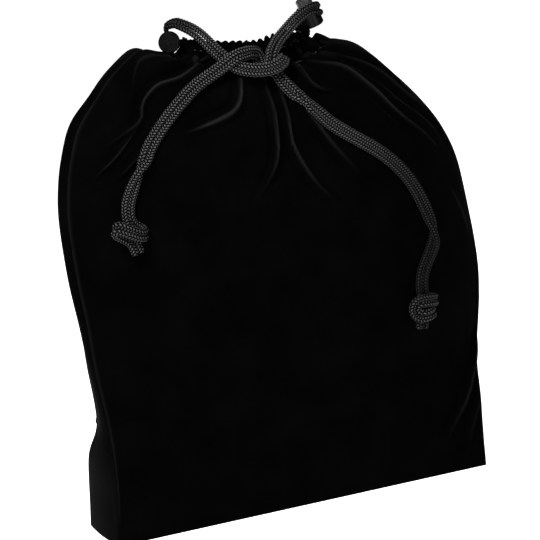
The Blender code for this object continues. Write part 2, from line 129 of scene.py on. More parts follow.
# Routes of the two pairs of cords. Each row is the middle of the pair and the way to its first cord.
LEFT_IN = [
    ((-0.0420, 0.0000, 0.2696), (0.00, 1.00, 0.00)),
    ((-0.0446, -0.0005, 0.2702), (0.05, 0.99, 0.00)),
]
LEFT_OUT = [
    ((-0.0474, -0.0010, 0.2893), (0.34, 0.92, 0.10)),
    ((-0.0440, -0.0055, 0.2905), (0.36, 0.78, 0.50)),
    ((-0.0393, -0.0100, 0.2880), (0.42, 0.50, 0.76)),
    ((-0.0345, -0.0158, 0.2835), (0.50, 0.30, 0.81)),
    ((-0.0305, -0.0215, 0.2765), (0.58, 0.15, 0.80)),
    ((-0.0265, -0.0255, 0.2707), (0.66, 0.00, 0.75)),
    ((-0.0224, -0.0300, 0.2665), (0.55, 0.00, 0.83)),
    ((-0.0185, -0.0340, 0.2632), (0.30, 0.00, 0.95)),
    ((-0.0133, -0.0368, 0.2618), (0.05, 0.00, 1.00)),
    ((-0.0077, -0.0380, 0.2611), (0.00, 0.00, 1.00)),
    ((-0.0017, -0.0382, 0.2612), (-0.10, 0.00, 1.00)),
    ((0.0040, -0.0375, 0.2628), (-0.35, 0.00, 0.93)),
    ((0.0080, -0.0350, 0.2650), (-0.60, 0.00, 0.80)),
    ((0.0090, -0.0305, 0.2664), (-0.70, 0.00, 0.70)),
    ((0.0070, -0.0274, 0.2655), (-0.80, 0.00, 0.60)),
    ((0.0045, -0.0270, 0.2620), (-0.95, 0.00, 0.30)),
    ((0.0035, -0.0292, 0.2580), (-1.00, 0.00, -0.10)),
    ((0.0045, -0.0327, 0.2535), (-0.90, 0.00, -0.40)),
    ((0.0085, -0.0362, 0.2488), (-0.86, 0.00, -0.51)),
    ((0.0146, -0.0366, 0.2406), (-0.78, 0.00, -0.62)),
    ((0.0229, -0.0377, 0.2325), (-0.69, 0.00, -0.72)),
    ((0.0307, -0.0383, 0.2253), (-0.64, 0.00, -0.77)),
    ((0.0397, -0.0381, 0.2186), (-0.58, 0.00, -0.81)),
    ((0.0494, -0.0376, 0.2119), (-0.57, 0.00, -0.82)),
    ((0.0580, -0.0368, 0.2060), (-0.60, 0.00, -0.80)),
    ((0.0660, -0.0357, 0.1995), (-0.67, 0.00, -0.74)),
    ((0.0730, -0.0348, 0.1925), (-0.74, 0.00, -0.67)),
    ((0.0790, -0.0338, 0.1850), (-0.82, 0.00, -0.57)),
    ((0.0840, -0.0328, 0.1768), (-0.88, 0.00, -0.48)),
    ((0.0880, -0.0318, 0.1685), (-0.92, 0.00, -0.39)),
    ((0.0920, -0.0310, 0.1580), (-0.96, -0.20, -0.27)),
    ((0.0937, -0.0318, 0.1530), (-0.70, -0.70, -0.05)),
    ((0.0938, -0.0322, 0.1480), (0.00, -1.00, 0.00)),
    ((0.0928, -0.0322, 0.1430), (0.70, -0.70, -0.20)),
    ((0.0905, -0.0316, 0.1385), (0.90, -0.20, -0.40)),
    ((0.0860, -0.0320, 0.1318), (0.86, 0.00, -0.50)),
    ((0.0826, -0.0326, 0.1250), (0.95, 0.00, -0.25)),
    ((0.0820, -0.0330, 0.1185), (1.00, 0.00, 0.00)),
    ((0.0823, -0.0325, 0.1150), (0.98, 0.00, 0.20)),
    ((0.0840, -0.0312, 0.1113), (0.50, 0.00, 0.85)),
    ((0.0878, -0.0312, 0.1092), (0.00, 0.00, 1.00)),
    ((0.0898, -0.0345, 0.1100), (0.00, 0.00, 1.00)),
    ((0.0856, -0.0385, 0.1118), (0.00, 0.00, 1.00)),
    ((0.0812, -0.0392, 0.1116), (0.10, 0.00, 1.00)),
    ((0.0774, -0.0390, 0.1120), (-0.20, 0.00, 0.98)),
    ((0.0742, -0.0382, 0.1102), (-0.80, 0.00, 0.60)),
    ((0.0733, -0.0375, 0.1069), (-1.00, 0.00, -0.10)),
    ((0.0753, -0.0382, 0.1038), (-0.60, 0.00, -0.80)),
    ((0.0802, -0.0390, 0.1026), (0.00, 0.00, -1.00)),
    ((0.0850, -0.0378, 0.1033), (0.20, 0.00, -0.98)),
    ((0.0878, -0.0342, 0.1044), (0.20, 0.00, -0.98)),
    ((0.0860, -0.0312, 0.1045), (0.00, 0.00, -1.00)),
    ((0.0822, -0.0318, 0.1030), (0.60, 0.00, -0.80)),
    ((0.0797, -0.0338, 0.0989), (1.00, 0.00, 0.00)),
    ((0.0793, -0.0350, 0.0950), (1.00, 0.00, 0.00)),
]
RIGHT_IN = [
    ((0.0325, 0.0000, 0.2700), (0.00, 1.00, 0.00)),
    ((0.0352, 0.0008, 0.2708), (0.00, 0.97, 0.22)),
    ((0.0372, 0.0026, 0.2738), (-0.50, 0.65, 0.55)),
    ((0.0368, 0.0040, 0.2782), (-0.50, 0.40, 0.76)),
    ((0.0353, 0.0034, 0.2818), (-0.36, 0.15, 0.92)),
]
RIGHT_OUT = [
    ((0.0412, -0.0146, 0.2882), (-0.30, 0.00, 0.95)),
    ((0.0376, -0.0180, 0.2896), (-0.20, -0.25, 0.95)),
    ((0.0318, -0.0192, 0.2893), (-0.30, -0.30, 0.90)),
    ((0.0262, -0.0200, 0.2866), (-0.45, -0.20, 0.87)),
    ((0.0205, -0.0212, 0.2832), (-0.55, -0.10, 0.83)),
    ((0.0145, -0.0236, 0.2788), (-0.65, -0.05, 0.76)),
    ((0.0079, -0.0262, 0.2750), (-0.75, -0.05, 0.66)),
    ((0.0035, -0.0305, 0.2708), (-0.85, 0.00, 0.50)),
    ((0.0011, -0.0325, 0.2667), (-0.93, 0.00, 0.35)),
    ((-0.0005, -0.0328, 0.2622), (-0.97, 0.00, 0.20)),
    ((-0.0022, -0.0305, 0.2588), (-1.00, 0.00, 0.00)),
    ((-0.0038, -0.0268, 0.2602), (-1.00, 0.00, 0.00)),
    ((-0.0035, -0.0245, 0.2645), (-0.95, 0.00, -0.20)),
    ((-0.0035, -0.0248, 0.2685), (-0.70, 0.00, -0.70)),
    ((-0.0065, -0.0268, 0.2707), (-0.20, 0.00, -0.97)),
    ((-0.0105, -0.0290, 0.2712), (0.00, 0.00, -1.00)),
    ((-0.0158, -0.0315, 0.2712), (0.10, 0.00, -0.99)),
    ((-0.0216, -0.0318, 0.2692), (0.30, 0.00, -0.95)),
    ((-0.0272, -0.0312, 0.2665), (0.42, 0.00, -0.90)),
    ((-0.0326, -0.0302, 0.2634), (0.50, 0.00, -0.86)),
    ((-0.0392, -0.0292, 0.2601), (0.53, 0.00, -0.85)),
    ((-0.0457, -0.0290, 0.2567), (0.53, 0.00, -0.85)),
    ((-0.0582, -0.0301, 0.2471), (0.60, 0.00, -0.80)),
    ((-0.0683, -0.0300, 0.2372), (0.72, 0.00, -0.69)),
    ((-0.0760, -0.0298, 0.2280), (0.85, -0.10, -0.50)),
    ((-0.0800, -0.0302, 0.2225), (0.70, -0.60, -0.35)),
    ((-0.0830, -0.0310, 0.2172), (0.00, -1.00, 0.00)),
    ((-0.0858, -0.0304, 0.2120), (-0.75, -0.60, 0.30)),
    ((-0.0883, -0.0294, 0.2064), (-0.95, -0.10, 0.30)),
    ((-0.0917, -0.0287, 0.1995), (-0.97, 0.00, 0.25)),
    ((-0.0931, -0.0287, 0.1945), (-1.00, 0.00, 0.00)),
    ((-0.0937, -0.0296, 0.1891), (-0.95, 0.00, -0.25)),
    ((-0.0915, -0.0292, 0.1839), (-0.50, 0.00, -0.85)),
    ((-0.0868, -0.0292, 0.1813), (0.00, 0.00, -1.00)),
    ((-0.0848, -0.0330, 0.1792), (0.00, 0.00, -1.00)),
    ((-0.0890, -0.0368, 0.1790), (-0.20, 0.00, -0.98)),
    ((-0.0943, -0.0375, 0.1815), (-0.50, 0.00, -0.86)),
    ((-0.0993, -0.0372, 0.1846), (-0.45, 0.00, -0.90)),
    ((-0.1028, -0.0360, 0.1862), (-0.30, 0.00, -0.95)),
    ((-0.1040, -0.0330, 0.1845), (-0.20, 0.00, -0.98)),
    ((-0.1012, -0.0308, 0.1812), (-0.30, 0.00, -0.95)),
    ((-0.0964, -0.0312, 0.1787), (-0.45, 0.00, -0.90)),
    ((-0.0928, -0.0325, 0.1762), (-0.80, 0.00, -0.60)),
    ((-0.0918, -0.0332, 0.1725), (-1.00, 0.00, 0.00)),
    ((-0.0910, -0.0332, 0.1690), (-1.00, 0.00, 0.00)),
]


# ---------------------------------------------------------------- small tools


def smoothstep(low, high, x):
    t = np.clip((x - low) / (high - low), 0.0, 1.0)
    return t * t * (3 - 2 * t)


def unit(v):
    return v / np.maximum(np.linalg.norm(v, axis=-1, keepdims=True), 1e-12)


def catmull_rom(rows, at):
    """Values at places `at` of a smooth curve through rows, which sit at 0, 1, 2 and so on."""
    table = np.vstack([2 * rows[0] - rows[1], rows, 2 * rows[-1] - rows[-2]])
    i = np.clip(at.astype(int), 0, len(rows) - 2)
    t = (at - i)[..., None]
    a, b, c, d = table[i], table[i + 1], table[i + 2], table[i + 3]
    return 0.5 * (2 * b + (c - a) * t + (2 * a - 5 * b + 4 * c - d) * t**2 + (3 * b - a - 3 * c + d) * t**3)


def reach(line):
    """How far along the line each of its points is."""
    return np.concatenate([[0], np.cumsum(np.linalg.norm(np.diff(line, axis=0), axis=1))])


def evenly(points, spacing, finer=40):
    """The smooth line through the points, as places a spacing apart."""
    fine = catmull_rom(points, np.linspace(0, len(points) - 1, finer * len(points)))
    reached = reach(fine[:, :3])
    goals = np.linspace(0, reached[-1], max(3, round(reached[-1] / spacing)) + 1)
    return np.stack([np.interp(goals, reached, column) for column in fine.T], axis=1)


def mesh_object(name, points, faces):
    mesh = bpy.data.meshes.new(name)
    mesh.from_pydata(np.asarray(points).tolist(), [], np.asarray(faces).tolist())
    mesh.shade_smooth()
    thing = bpy.data.objects.new(name, mesh)
    bpy.context.scene.collection.objects.link(thing)
    return thing


def keep_values(thing, name, values):
    """Stores a value for each point of the mesh, which its material reads."""
    attribute = thing.data.attributes.new(name, "FLOAT", "POINT")
    attribute.data.foreach_set("value", np.asarray(values, np.float32).ravel())


def grid_faces(tall, wide, flip=False):
    """Faces of a grid of points, row by row."""
    k, i = np.meshgrid(np.arange(tall - 1), np.arange(wide - 1), indexing="ij")
    corner = (k * wide + i).ravel()
    faces = np.stack([corner, corner + 1, corner + wide + 1, corner + wide], axis=1)
    return faces[:, ::-1] if flip else faces


def tube_faces(tall, around):
    """Faces of a tube made of rings of points, without its ends."""
    k, i = np.meshgrid(np.arange(tall - 1), np.arange(around), indexing="ij")
    j = (i + 1) % around
    faces = np.stack([k * around + i, k * around + j, (k + 1) * around + j, (k + 1) * around + i], axis=-1)
    return faces.reshape(-1, 4)


def circle(count):
    return np.linspace(0, 2 * np.pi, count, endpoint=False)


def close_ends(thing, tall, around):
    """Adds a cap to each end of a tube."""
    last = (tall - 1) * around
    shape = bmesh.new()
    shape.from_mesh(thing.data)
    shape.verts.ensure_lookup_table()
    for cap in (list(range(around))[::-1], [last + i for i in range(around)]):
        shape.faces.new([shape.verts[i] for i in cap]).smooth = True
    bmesh.ops.recalc_face_normals(shape, faces=shape.faces)
    shape.to_mesh(thing.data)
    shape.free()


def thicken(thing, thickness):
    """Gives a sheet its thickness, inwards from the face that is seen."""
    solid = thing.modifiers.new("thickness", "SOLIDIFY")
    solid.thickness = thickness
    solid.offset = -1.0


def dress(thing, material, slot, *nodes):
    """Puts a material on a piece of the bag itself, which stands for these CAD nodes."""
    thing.data.materials.append(material)
    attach(thing, "root")
    if nodes:
        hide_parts(*nodes)


# ---------------------------------------------------------------- materials


def shader_of(name):
    material = bpy.data.materials.new(name)
    material.use_nodes = True
    return material, material.node_tree, material.node_tree.nodes["Principled BSDF"]


def places(tree):
    """Each place in the piece's own coordinates."""
    return tree.nodes.new("ShaderNodeTexCoord").outputs["Object"]


def stored(tree, name):
    """The value that keep_values put on each point."""
    node = tree.nodes.new("ShaderNodeAttribute")
    node.attribute_name = name
    return node.outputs["Fac"]


def add(tree, kind, **inputs):
    node = tree.nodes.new(kind)
    for key, value in inputs.items():
        node.inputs[key.replace("_", " ")].default_value = value
    return node


def noise(tree, coordinates, scale, detail=2.0, roughness=0.5):
    node = add(tree, "ShaderNodeTexNoise", Scale=scale, Detail=detail, Roughness=roughness)
    tree.links.new(coordinates, node.inputs["Vector"])
    return node.outputs["Fac"]


def ramp(tree, factor, low, high, dark, light):
    """A colour that goes from dark to light as the factor goes from low to high."""
    node = tree.nodes.new("ShaderNodeValToRGB")
    node.color_ramp.elements[0].position = low
    node.color_ramp.elements[1].position = high
    node.color_ramp.elements[0].color = (*dark, 1)
    node.color_ramp.elements[1].color = (*light, 1)
    tree.links.new(factor, node.inputs["Fac"])
    return node.outputs["Color"]


def bump(tree, height, strength, distance, under=None):
    node = add(tree, "ShaderNodeBump", Strength=strength, Distance=distance)
    tree.links.new(height, node.inputs["Height"])
    if under:
        tree.links.new(under, node.inputs["Normal"])
    return node.outputs["Normal"]


def velvet():
    """Black cut pile: almost no light straight on, a soft sheen on the folds, a painted highlight in the
    colour along the fold crests, and patches of brushed nap.
    """
    material, tree, shader = shader_of("black_velvet")
    where = places(tree)
    patches = noise(tree, where, 38.0, 3.0, 0.6)
    flat = ramp(tree, patches, 0.35, 0.75, (0.0003, 0.0003, 0.0003), (0.0008, 0.0008, 0.0008))
    # A painted highlight: where the crest value is high, the base colour turns lighter, standing in for sheen
    # on the fold crests.
    crest = stored(tree, "crest")
    mix = tree.nodes.new("ShaderNodeMix")
    mix.data_type = "RGBA"
    share, base, painted_sheen, mixed = mix.inputs[0], mix.inputs[6], mix.inputs[7], mix.outputs[2]
    # The colour of the painted highlight on the fold crests.
    painted_sheen.default_value = (0.0075, 0.0075, 0.0078, 1.0)
    tree.links.new(crest, share)
    tree.links.new(flat, base)
    tree.links.new(mixed, shader.inputs["Base Color"])
    shader.inputs["Roughness"].default_value = 0.9
    shader.inputs["Specular IOR Level"].default_value = 0.008
    shader.inputs["Sheen Weight"].default_value = 0.016
    shader.inputs["Sheen Roughness"].default_value = 0.22
    shader.inputs["Sheen Tint"].default_value = (0.92, 0.95, 1.0, 1.0)
    nap = bump(tree, noise(tree, where, 260.0, 3.0), 0.35, 0.0010)
    pile = bump(tree, noise(tree, where, 2600.0, 2.0), 0.5, 0.0003, nap)
    tree.links.new(pile, shader.inputs["Normal"])
    return material


def braid():
    """Black nylon of the cords, with painted shade in the gaps between the strands. The strands are in the
    mesh, and this adds the threads in each.
    """
    material, tree, shader = shader_of("braided_nylon")
    where = places(tree)
    raised = stored(tree, "raised")
    # Painted shade: the colour is near black in the gaps between strands and lighter on their tops.
    colour = ramp(tree, raised, 0.42, 1.0, (0.0006, 0.0006, 0.0006), (0.085, 0.085, 0.087))
    # Painted shade along each cord's length darkens its colour.
    shade_along = stored(tree, "shade_along")
    shaded_colour = tree.nodes.new("ShaderNodeVectorMath")
    shaded_colour.operation = "SCALE"
    tree.links.new(colour, shaded_colour.inputs[0])
    tree.links.new(shade_along, shaded_colour.inputs["Scale"])
    tree.links.new(shaded_colour.outputs[0], shader.inputs["Base Color"])
    shader.inputs["Roughness"].default_value = 0.5
    shader.inputs["Specular IOR Level"].default_value = 0.02
    threads = bump(tree, noise(tree, where, 4200.0, 2.0), 0.4, 0.0002)
    tree.links.new(threads, shader.inputs["Normal"])
    return material


def plastic(name, dark, light, roughness, specular, grain, strength):
    """Moulded plastic with a fine grain and slightly uneven gloss."""
    material, tree, shader = shader_of(name)
    where = places(tree)
    tree.links.new(ramp(tree, noise(tree, where, 300.0), 0.3, 0.7, dark, light), shader.inputs["Base Color"])
    spread = ramp(tree, noise(tree, where, 500.0), 0.3, 0.7, (roughness * 0.85,) * 3, (roughness * 1.15,) * 3)
    tree.links.new(spread, shader.inputs["Roughness"])
    shader.inputs["Specular IOR Level"].default_value = specular
    tree.links.new(bump(tree, noise(tree, where, grain, 2.0), strength, 0.0002), shader.inputs["Normal"])
    return material


def steel():
    """Spring wire."""
    material, tree, shader = shader_of("spring_wire")
    where = places(tree)
    shade = ramp(tree, noise(tree, where, 900.0), 0.3, 0.7, (0.45, 0.45, 0.47), (0.62, 0.62, 0.64))
    tree.links.new(shade, shader.inputs["Base Color"])
    shader.inputs["Metallic"].default_value = 1.0
    shader.inputs["Roughness"].default_value = 0.3
    return material


def tape_cloth():
    """Plain woven tape with a fine rib across it."""
    material, tree, shader = shader_of("woven_tape")
    where = places(tree)
    rib = add(tree, "ShaderNodeTexWave", Scale=420.0, Distortion=0.6)
    rib.bands_direction = "Z"
    tree.links.new(where, rib.inputs["Vector"])
    dark, light = (0.0015, 0.0015, 0.0016), (0.0040, 0.0040, 0.0042)
    colour = ramp(tree, noise(tree, where, 700.0), 0.3, 0.7, dark, light)
    tree.links.new(colour, shader.inputs["Base Color"])
    shader.inputs["Roughness"].default_value = 0.85
    tree.links.new(bump(tree, rib.outputs["Fac"], 0.6, 0.0003), shader.inputs["Normal"])
    return material


# ---------------------------------------------------------------- the velvet


def bag_points(row, side, across):
    """Points of the bag's outer face. side is -1 for the front, and across runs from -1 to 1."""
    row, across = np.broadcast_arrays(row, across)
    columns = np.moveaxis(catmull_rom(OUTLINE, row), -1, 0)
    height, left, right, deep, seam, front, back, up_left, up_right = columns
    neck = np.clip((row - NECK_ROW) / (CHANNEL_ROW - NECK_ROW), 0.0, 1.0)
    roundness = (1 - np.abs(across) ** (2.5 - 0.5 * neck)) ** (0.75 - 0.25 * neck)  # an ellipse at the neck
    sag = (front if side < 0 else back) * (1 - across**2)
    lift = up_left * ((1 - across) / 2) ** 2 + up_right * ((1 + across) / 2) ** 2
    x = across * np.where(across < 0, left, right) - MIDDLE
    return np.stack([x, side * (seam + (deep - seam) * roundness), height - sag + lift], axis=-1)


def normals_of(points, outward):
    """Normals of a grid of points, on the side that outward points to."""
    up = np.gradient(points, axis=0)
    along = np.gradient(points, axis=1)
    normals = unit(np.cross(along, up))
    flip = np.sign(np.sum(normals * outward, axis=-1, keepdims=True).mean())
    return normals * flip


def ridge(points, route, height, half_width):
    """How far a fold along the route lifts each point: a narrow crest with a shallow valley beside it."""
    flat = points[..., [0, 2]]
    line = evenly(np.array(route), 0.004)
    start, step = line[:-1], np.diff(line, axis=0)
    best = np.full(flat.shape[:-1], 9.0)  # farther than any distance
    across = np.zeros_like(best)
    place = np.zeros_like(best)
    for k, (a, d) in enumerate(zip(start, step)):
        share = np.clip(((flat - a) @ d) / (d @ d), 0, 1)
        away = flat - a - share[..., None] * d
        distance = np.linalg.norm(away, axis=-1)
        closer = distance < best
        best = np.where(closer, distance, best)
        across = np.where(closer, np.sign(away[..., 0] * d[1] - away[..., 1] * d[0]) * distance, across)
        place = np.where(closer, (k + share) / len(start), place)
    swell = np.sin(np.pi * np.clip(0.12 + 0.88 * place, 0, 1)) ** 0.7  # the fold starts steep and fades out
    crest = np.exp(-np.abs(best / half_width) ** 1.6)
    valley = np.exp(-(((across - 2.1 * half_width) / (1.3 * half_width)) ** 2))
    return height * swell * (crest - 0.35 * valley)


PLEATS = 19  # in the frill of the front, and as many in that of the back
CHANNEL_MIDDLE = (CHANNEL_ROW + HEM_ROW) / 2
BODY_LINES, NECK_LINES, COLUMNS_ACROSS = 196, 120, 361  # how fine the grid of a panel is
# A fold this high gets the brightest painted highlight on its crest.
SHARP_FOLD = 0.0038  # a fold this high has the brightest crest


def scallops(share):
    """Round tops with narrow dips between them, from -1 to 1."""
    return 2 * np.abs(np.cos(np.pi * PLEATS * share)) ** 0.7 - 1


def gathers(row, share, side):
    """How far the pleats round the neck lift each point: fine ones in the channel and the frill, and wider
    ones lower down. share is how far round the front or the back a point is, from 0 to 1."""
    turn = 2 * np.pi
    drift = 0.008 * np.sin(turn * 3 * share + side) + 0.004 * np.sin(turn * 7.3 * share)
    fine = scallops(share + drift)
    medium = np.cos(turn * 10 * (share + 1.5 * drift) + 0.8 * np.sin(turn * 1.7 * share))
    coarse = np.cos(turn * 6.5 * share + 1.5 * np.sin(turn * 1.3 * share + side))
    in_frill = smoothstep(HEM_ROW - 0.1, MOUTH_ROW, row)
    lifted = (0.0005 + 0.0010 * in_frill) * smoothstep(12.6, 13.2, row) * fine
    lifted += 0.0011 * smoothstep(11.2, 12.8, row) * (1 - 0.6 * in_frill) * medium
    lifted += 0.0016 * smoothstep(8.8, 11.5, row) * (1 - smoothstep(12.6, 13.2, row)) * coarse
    # The two rows of stitches draw the cloth in, and the channel swells between them.
    for stitched in (CHANNEL_ROW, HEM_ROW):
        lifted -= 0.0012 * np.exp(-(((row - stitched) / 0.10) ** 2))
    lifted += 0.0010 * np.exp(-(((row - CHANNEL_MIDDLE) / 0.3) ** 2))
    return lifted


def slack(points, side):
    """The slow unevenness of cloth that nothing pulls flat: three waves that cross each other."""
    x, z = points[..., 0], points[..., 2]
    long, middle, short = 31 * x + 19 * z + 2 * side, -47 * x + 38 * z + 1.3, 88 * x + 61 * z
    return 0.0007 * (np.sin(long) + 0.7 * np.sin(middle) + 0.5 * np.sin(short))


def slump(points):
    """How the cloth's own weight moves both shoulders down, and the cloth beside the left lock up."""
    x, z = points[..., 0].copy(), points[..., 2].copy()
    down = 0.0052 * np.exp(-(((x - 0.084) / 0.023) ** 2)) + 0.0040 * np.exp(-(((x + 0.107) / 0.013) ** 2))
    up = 0.0042 * np.exp(-(((x + 0.073) / 0.011) ** 2)) * smoothstep(0.235, 0.258, z)
    narrower = 0.009 * smoothstep(0.0, 0.03, z) + 0.014 * np.exp(-(((z - 0.228) / 0.022) ** 2))
    points[..., 0] = (x + MIDDLE) * (1 - narrower) - MIDDLE
    points[..., 2] += up - down * smoothstep(0.205, 0.240, z)
    return points


def panel_places():
    """The grid of a panel: row of each of its lines, and how far across its columns are."""
    lower = np.linspace(0, NECK_ROW, BODY_LINES)
    upper = np.linspace(NECK_ROW, MOUTH_ROW, NECK_LINES + 1)[1:]
    row = np.concatenate([lower, upper])[:, None]
    across = np.sin(np.pi / 2 * np.linspace(-1, 1, COLUMNS_ACROSS))[None, :]
    return row, across


def panel(name, side):
    """The front or the back, with its gathers, folds, side seams and frill."""
    row, across = panel_places()
    points = bag_points(row, side, across)
    normals = normals_of(points, np.array([0.0, side, 0.1]))
    length = reach(bag_points(np.array([[HEM_ROW]]), side, across)[0])
    share = (length / length[-1])[None, :]
    lifted = gathers(row, share, side)
    in_frill, at_side = smoothstep(HEM_ROW - 0.2, HEM_ROW + 0.2, row), smoothstep(0.78, 0.96, np.abs(across))
    lifted = lifted * (1 - in_frill * at_side)  # the frill lies flatter at the sides
    # crest marks where the velvet's colour gets a painted highlight, along the fold crests.
    crest = np.zeros_like(lifted)
    for height, half_width, route in FOLDS:
        fold = ridge(points, [(-side * x, z) for x, z in route], height, half_width)
        lifted += fold
        crest = np.maximum(crest, np.clip(fold / SHARP_FOLD, 0, 1) ** 4)
    # The tops of the pleats get a little painted highlight too.
    crest = np.maximum(crest, 0.15 * smoothstep(0.0014, 0.0028, lifted) * smoothstep(8.8, 12.0, row))
    lifted += slack(points, side) * smoothstep(0.0, 1.0, row)
    # Nothing moves at the side seams and the base, where other pieces meet the panel.
    edge = np.minimum(smoothstep(-1.0, -0.985, across), smoothstep(1.0, 0.985, across))
    lifted = lifted * edge * smoothstep(0.0, 0.35, row)
    below_the_neck = 1 - smoothstep(11.5, 12.5, row)
    seam = np.exp(-(((1 - np.abs(across)) / 0.006) ** 2)) * smoothstep(0.2, 0.6, row) * below_the_neck
    lifted += 0.0005 * seam  # a low ridge beside each side seam
    # The ridges beside the side seams get a painted highlight too.
    crest = np.maximum(crest * edge, 0.35 * seam)
    points = points + normals * lifted[..., None]
    frill = smoothstep(HEM_ROW, MOUTH_ROW, row)
    points[..., 2] += 0.0008 * frill * scallops(share) * edge
    # The mouth hangs lower on the right.
    points[..., 2] -= 0.0038 * smoothstep(HEM_ROW - 0.6, MOUTH_ROW, row) * smoothstep(-0.4, 1.0, across)
    points = slump(points)
    thing = mesh_object(name, points.reshape(-1, 3), grid_faces(*points.shape[:2], flip=side > 0))
    # The mask of the painted highlight, which the velvet material reads.
    keep_values(thing, "crest", crest)
    return thing


def gusset(name, end):
    """The strip between front and back, with its upper part gathered and a gap where the cords leave. end
    is -1 for the left one."""
    rows = panel_places()[0][:, 0]
    front = bag_points(rows[:, None], -1, np.array([[float(end)]]))[:, 0]
    back = bag_points(rows[:, None], 1, np.array([[float(end)]]))[:, 0]
    gap_from, gap_to, wave_count, wave_height = 13.15, 13.9, 3, 0.0012
    share = np.linspace(0, 1, 25)  # of the way from front to back
    points = front[:, None] * (1 - share)[None, :, None] + back[:, None] * share[None, :, None]
    bulge = 4 * share * (1 - share)
    narrow = smoothstep(2.5, 5.0, rows)[:, None]  # where front and back meet in a soft edge
    points[..., 0] += end * bulge[None, :] * (0.0015 + 0.0020 * narrow)
    waves = np.cos(2 * np.pi * wave_count * share)[None, :] * bulge[None, :] ** 0.5
    points[..., 0] += end * wave_height * smoothstep(12.6, 14.0, rows)[:, None] * waves
    points = slump(points)
    faces = grid_faces(*points.shape[:2], flip=end < 0)
    hole = (rows > gap_from) & (rows < gap_to)
    keep = [not hole[min(face[0], face[1]) // len(share)] for face in faces]
    return mesh_object(name, points.reshape(-1, 3), faces[np.array(keep)])


def make_velvet(material):
    """The four sewn pieces round the sides of the bag, each a sheet of velvet; make_base makes the fifth."""
    pieces = {
        "front_velvet": (panel("front_velvet", -1), "front_panel", (0.250, 0.330)),
        "back_velvet": (panel("back_velvet", 1), "back_panel", (0.250, 0.330)),
        "left_side_velvet": (gusset("left_side_velvet", -1), "left_gusset", (0.024, 0.300)),
        "right_side_velvet": (gusset("right_side_velvet", 1), "right_gusset", (0.024, 0.300)),
    }
    for thing, node, _ in pieces.values():
        thicken(thing, VELVET_THICK)
        dress(thing, material, "velvet", node)
    return pieces


def make_stitches(name, cloth, material):
    """Short thread stitches that show between the pleats, along both edges of the channel."""
    margin, spacing, stitch, thickness, above = 0.004, 0.0042, 0.0014, 0.00024, 0.00008
    tall, around = 7, 8
    rows = panel_places()[0][:, 0]
    points = np.array([v.co for v in cloth.data.vertices]).reshape(len(rows), -1, 3)
    normals = normals_of(points, np.array([0.0, np.sign(points[0, 0, 1]), 0.1]))
    angle = circle(around)
    thick = thickness * np.sqrt(np.clip(1 - np.linspace(-1, 1, tall) ** 2, 0.04, 1))
    stitches, faces = [], []
    for edge in (CHANNEL_ROW, HEM_ROW):
        k = int(np.abs(rows - edge).argmin())
        line, out = points[k], normals[k]
        reached = reach(line)
        for start in np.arange(margin, reached[-1] - margin, spacing):
            at = start + np.linspace(0, stitch, tall)
            middle = np.stack([np.interp(at, reached, line[:, i]) for i in range(3)], axis=1)
            up = unit(np.stack([np.interp(at, reached, out[:, i]) for i in range(3)], axis=1))
            ahead = unit(np.gradient(middle, axis=0))
            side = np.cross(ahead, up)
            ring = np.cos(angle)[None, :, None] * up[:, None] + np.sin(angle)[None, :, None] * side[:, None]
            faces.append(tube_faces(tall, around) + len(stitches) * tall * around)
            stitches.append(middle[:, None] + up[:, None] * above + ring * thick[:, None, None])
    thing = mesh_object(name, np.concatenate(stitches).reshape(-1, 3), np.concatenate(faces))
    dress(thing, material, "cord")


def thread():
    """Polyester sewing thread with a fine twist."""
    material, tree, shader = shader_of("sewing_thread")
    where = places(tree)
    colour = ramp(tree, noise(tree, where, 1500.0), 0.3, 0.7, (0.006, 0.006, 0.0063), (0.018, 0.018, 0.0185))
    tree.links.new(colour, shader.inputs["Base Color"])
    shader.inputs["Roughness"].default_value = 0.5
    tree.links.new(bump(tree, noise(tree, where, 6000.0), 0.4, 0.0001), shader.inputs["Normal"])
    return material


def make_base(material):
    """The flat bottom, with a slightly raised hem all round and a faint pucker."""
    low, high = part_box("base_panel")
    inset, hem_height, pucker, pucker_turns = 0.0002, 0.0003, 0.00012, 900
    across = np.linspace(-1, 1, 161)[None, :]
    deep = np.linspace(-1, 1, 61)[:, None]
    middle, half = (low + high) / 2, (high - low) / 2
    x = middle.x + (half.x - inset) * across + 0 * deep
    y = middle.y + (half.y - inset) * deep + 0 * across
    hem = smoothstep(0.0045, 0.0025, np.minimum((1 - np.abs(across)) * half.x, (1 - np.abs(deep)) * half.y))
    puckers = pucker * np.sin(x * pucker_turns) * np.sin(y * pucker_turns)
    z = high.z - hem_height + hem_height * hem + puckers
    points = np.stack([x, y, z], axis=-1)
    thing = mesh_object("base_velvet", points.reshape(-1, 3), grid_faces(*points.shape[:2]))
    thicken(thing, VELVET_THICK)
    dress(thing, material, "velvet", "base_panel")
    return thing


def channel_line(level, side, across, depth):
    """Places in the channel round the neck, a depth inside its outer face. level runs from 0 at its lower
    edge to 1."""
    row = CHANNEL_ROW + np.asarray(level, float) * (HEM_ROW - CHANNEL_ROW)
    points = bag_points(row, side, across)
    lower = bag_points(np.full_like(row, 13.3), side, across)
    upper = bag_points(np.full_like(row, 13.7), side, across)
    beside = bag_points(np.full_like(row, CHANNEL_MIDDLE), side, np.clip(across + 0.01, -1, 1))
    before = bag_points(np.full_like(row, CHANNEL_MIDDLE), side, np.clip(across - 0.01, -1, 1))
    inward = unit(np.cross(upper - lower, beside - before))
    inward *= np.sign(np.sum(inward * (0, -side, 0), axis=-1, keepdims=True))
    return points + inward * depth


